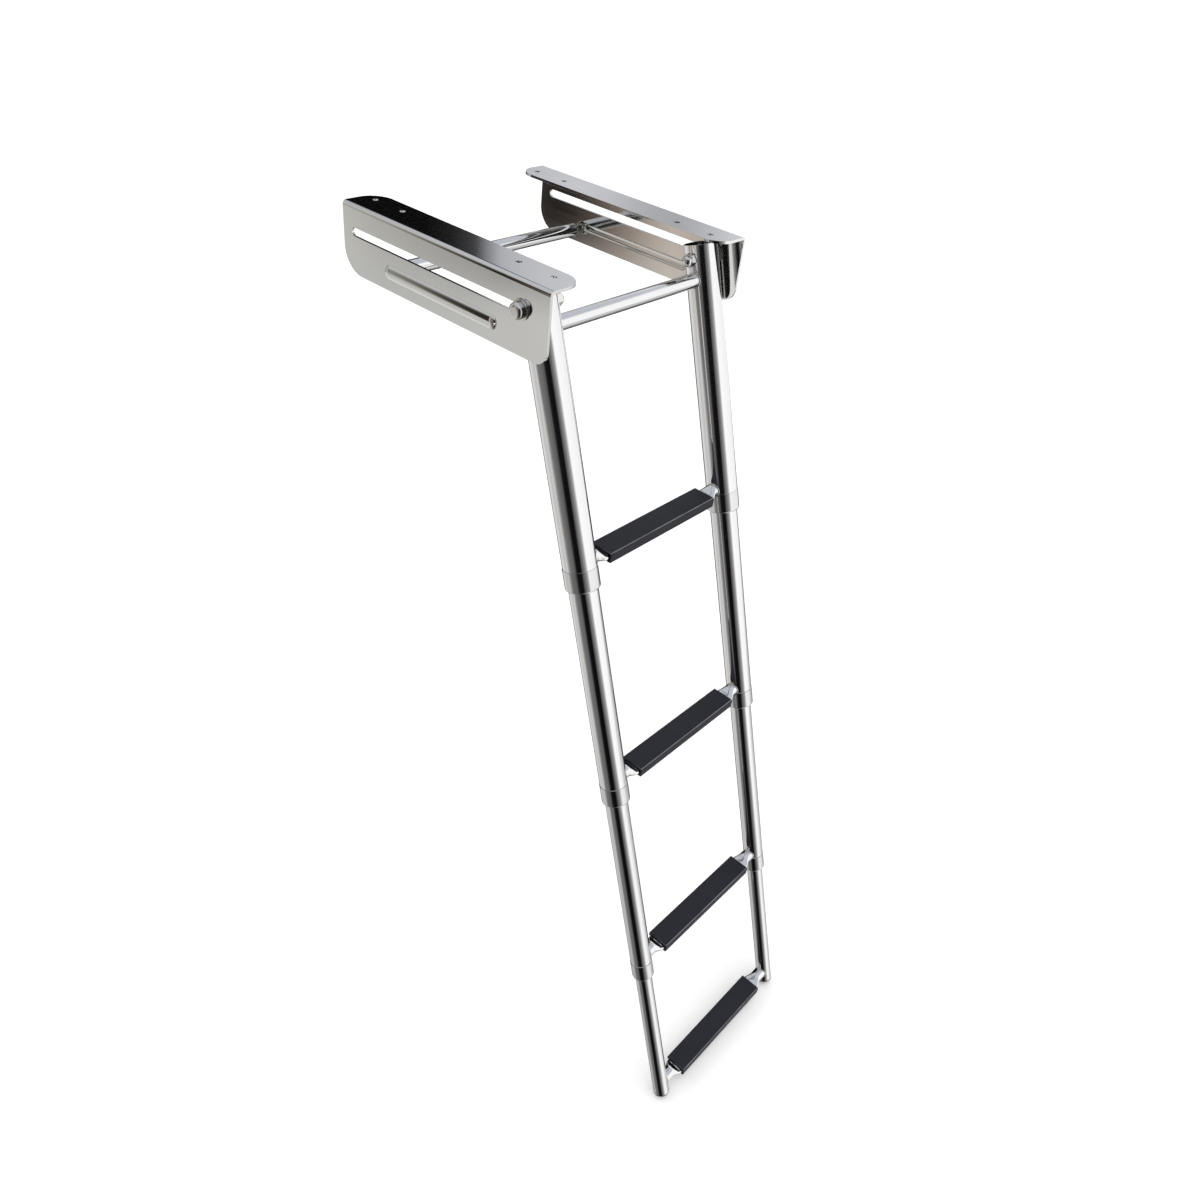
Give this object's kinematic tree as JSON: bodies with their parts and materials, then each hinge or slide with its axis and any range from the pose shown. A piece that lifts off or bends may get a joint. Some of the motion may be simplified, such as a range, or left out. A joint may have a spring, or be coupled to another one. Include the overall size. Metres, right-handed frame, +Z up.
{
  "type": "boat boarding ladder",
  "caption": "Under-platform boat boarding ladder: telescoping rails with plastic-covered steps, hinged on bolts that slide in slotted angle brackets.",
  "frame": {"origin": "in the plane of the bracket flange tops, on the centre line between the two brackets, at the middle of their length; the underside of the platform lies on this plane", "axes": "+Z up, +X across the ladder to its right when it is looked at from its open (outer) end towards the boat, -Y out from the boat, the way the ladder is pulled out"},
  "size_m": [0.3192, 0.6153, 1.0576],
  "materials": {
    "bracket_steel": "stainless plate, bright finish with a fine brushed grain",
    "rail_steel": "mirror-polished stainless tube",
    "collar_steel": "satin stainless ring",
    "bolt_steel": "polished stainless fastener",
    "tread_plastic": "fine-textured black moulded plastic",
    "cap_plastic": "dark grey moulded plastic",
    "nylon": "plain turned nylon"
  },
  "bodies": {
    "mount": {"cross_brace": "rail_steel", "left_brace_end": "collar_steel", "left_bracket": "bracket_steel", "right_brace_end": "collar_steel", "right_bracket": "bracket_steel"},
    "pivot": {"left_pivot_bolt": "bolt_steel", "left_pivot_nut": "bolt_steel", "left_pivot_washer": "bolt_steel", "left_slide_spacer": "nylon", "right_pivot_bolt": "bolt_steel", "right_pivot_nut": "bolt_steel", "right_pivot_washer": "bolt_steel", "right_slide_spacer": "nylon"},
    "top_section": {"left_top_collar": "collar_steel", "left_top_collar_bush": "nylon", "left_top_rail": "rail_steel", "right_top_collar": "collar_steel", "right_top_collar_bush": "nylon", "right_top_rail": "rail_steel", "top_crossbar": "rail_steel", "top_rung": "rail_steel", "top_tread": "tread_plastic"},
    "second_section": {"left_second_collar": "collar_steel", "left_second_collar_bush": "nylon", "left_second_guide": "nylon", "left_second_rail": "rail_steel", "right_second_collar": "collar_steel", "right_second_collar_bush": "nylon", "right_second_guide": "nylon", "right_second_rail": "rail_steel", "second_rung": "rail_steel", "second_tread": "tread_plastic"},
    "third_section": {"left_third_collar": "collar_steel", "left_third_collar_bush": "nylon", "left_third_guide": "nylon", "left_third_rail": "rail_steel", "right_third_collar": "collar_steel", "right_third_collar_bush": "nylon", "right_third_guide": "nylon", "right_third_rail": "rail_steel", "third_rung": "rail_steel", "third_tread": "tread_plastic"},
    "fourth_section": {"fourth_rung": "rail_steel", "fourth_tread": "tread_plastic", "left_foot_cap": "cap_plastic", "left_fourth_guide": "nylon", "left_fourth_rail": "rail_steel", "right_foot_cap": "cap_plastic", "right_fourth_guide": "nylon", "right_fourth_rail": "rail_steel"}
  },
  "joints": [
    {"name": "pivot_slide", "type": "slide", "parent": "mount", "child": "pivot", "axis": [0, 1, 0], "range_m": [0, 0.253]},
    {"name": "ladder_swing", "type": "hinge", "parent": "pivot", "child": "top_section", "pos_m": [0, -0.1175, -0.0285], "axis": [-1, 0, 0], "range_deg": [0, 72]},
    {"name": "second_slide", "type": "slide", "parent": "top_section", "child": "second_section", "axis": [0, 0.309, 0.9511], "range_m": [0, 0.2409]},
    {"name": "third_slide", "type": "slide", "parent": "second_section", "child": "third_section", "axis": [0, 0.309, 0.9511], "range_m": [0, 0.2409]},
    {"name": "fourth_slide", "type": "slide", "parent": "third_section", "child": "fourth_section", "axis": [0, 0.309, 0.9511], "range_m": [0, 0.1939]}
  ],
  "couplings": [
    {"joint": "ladder_swing", "follows": "pivot_slide", "rad_per_m": 4.9669}
  ]
}
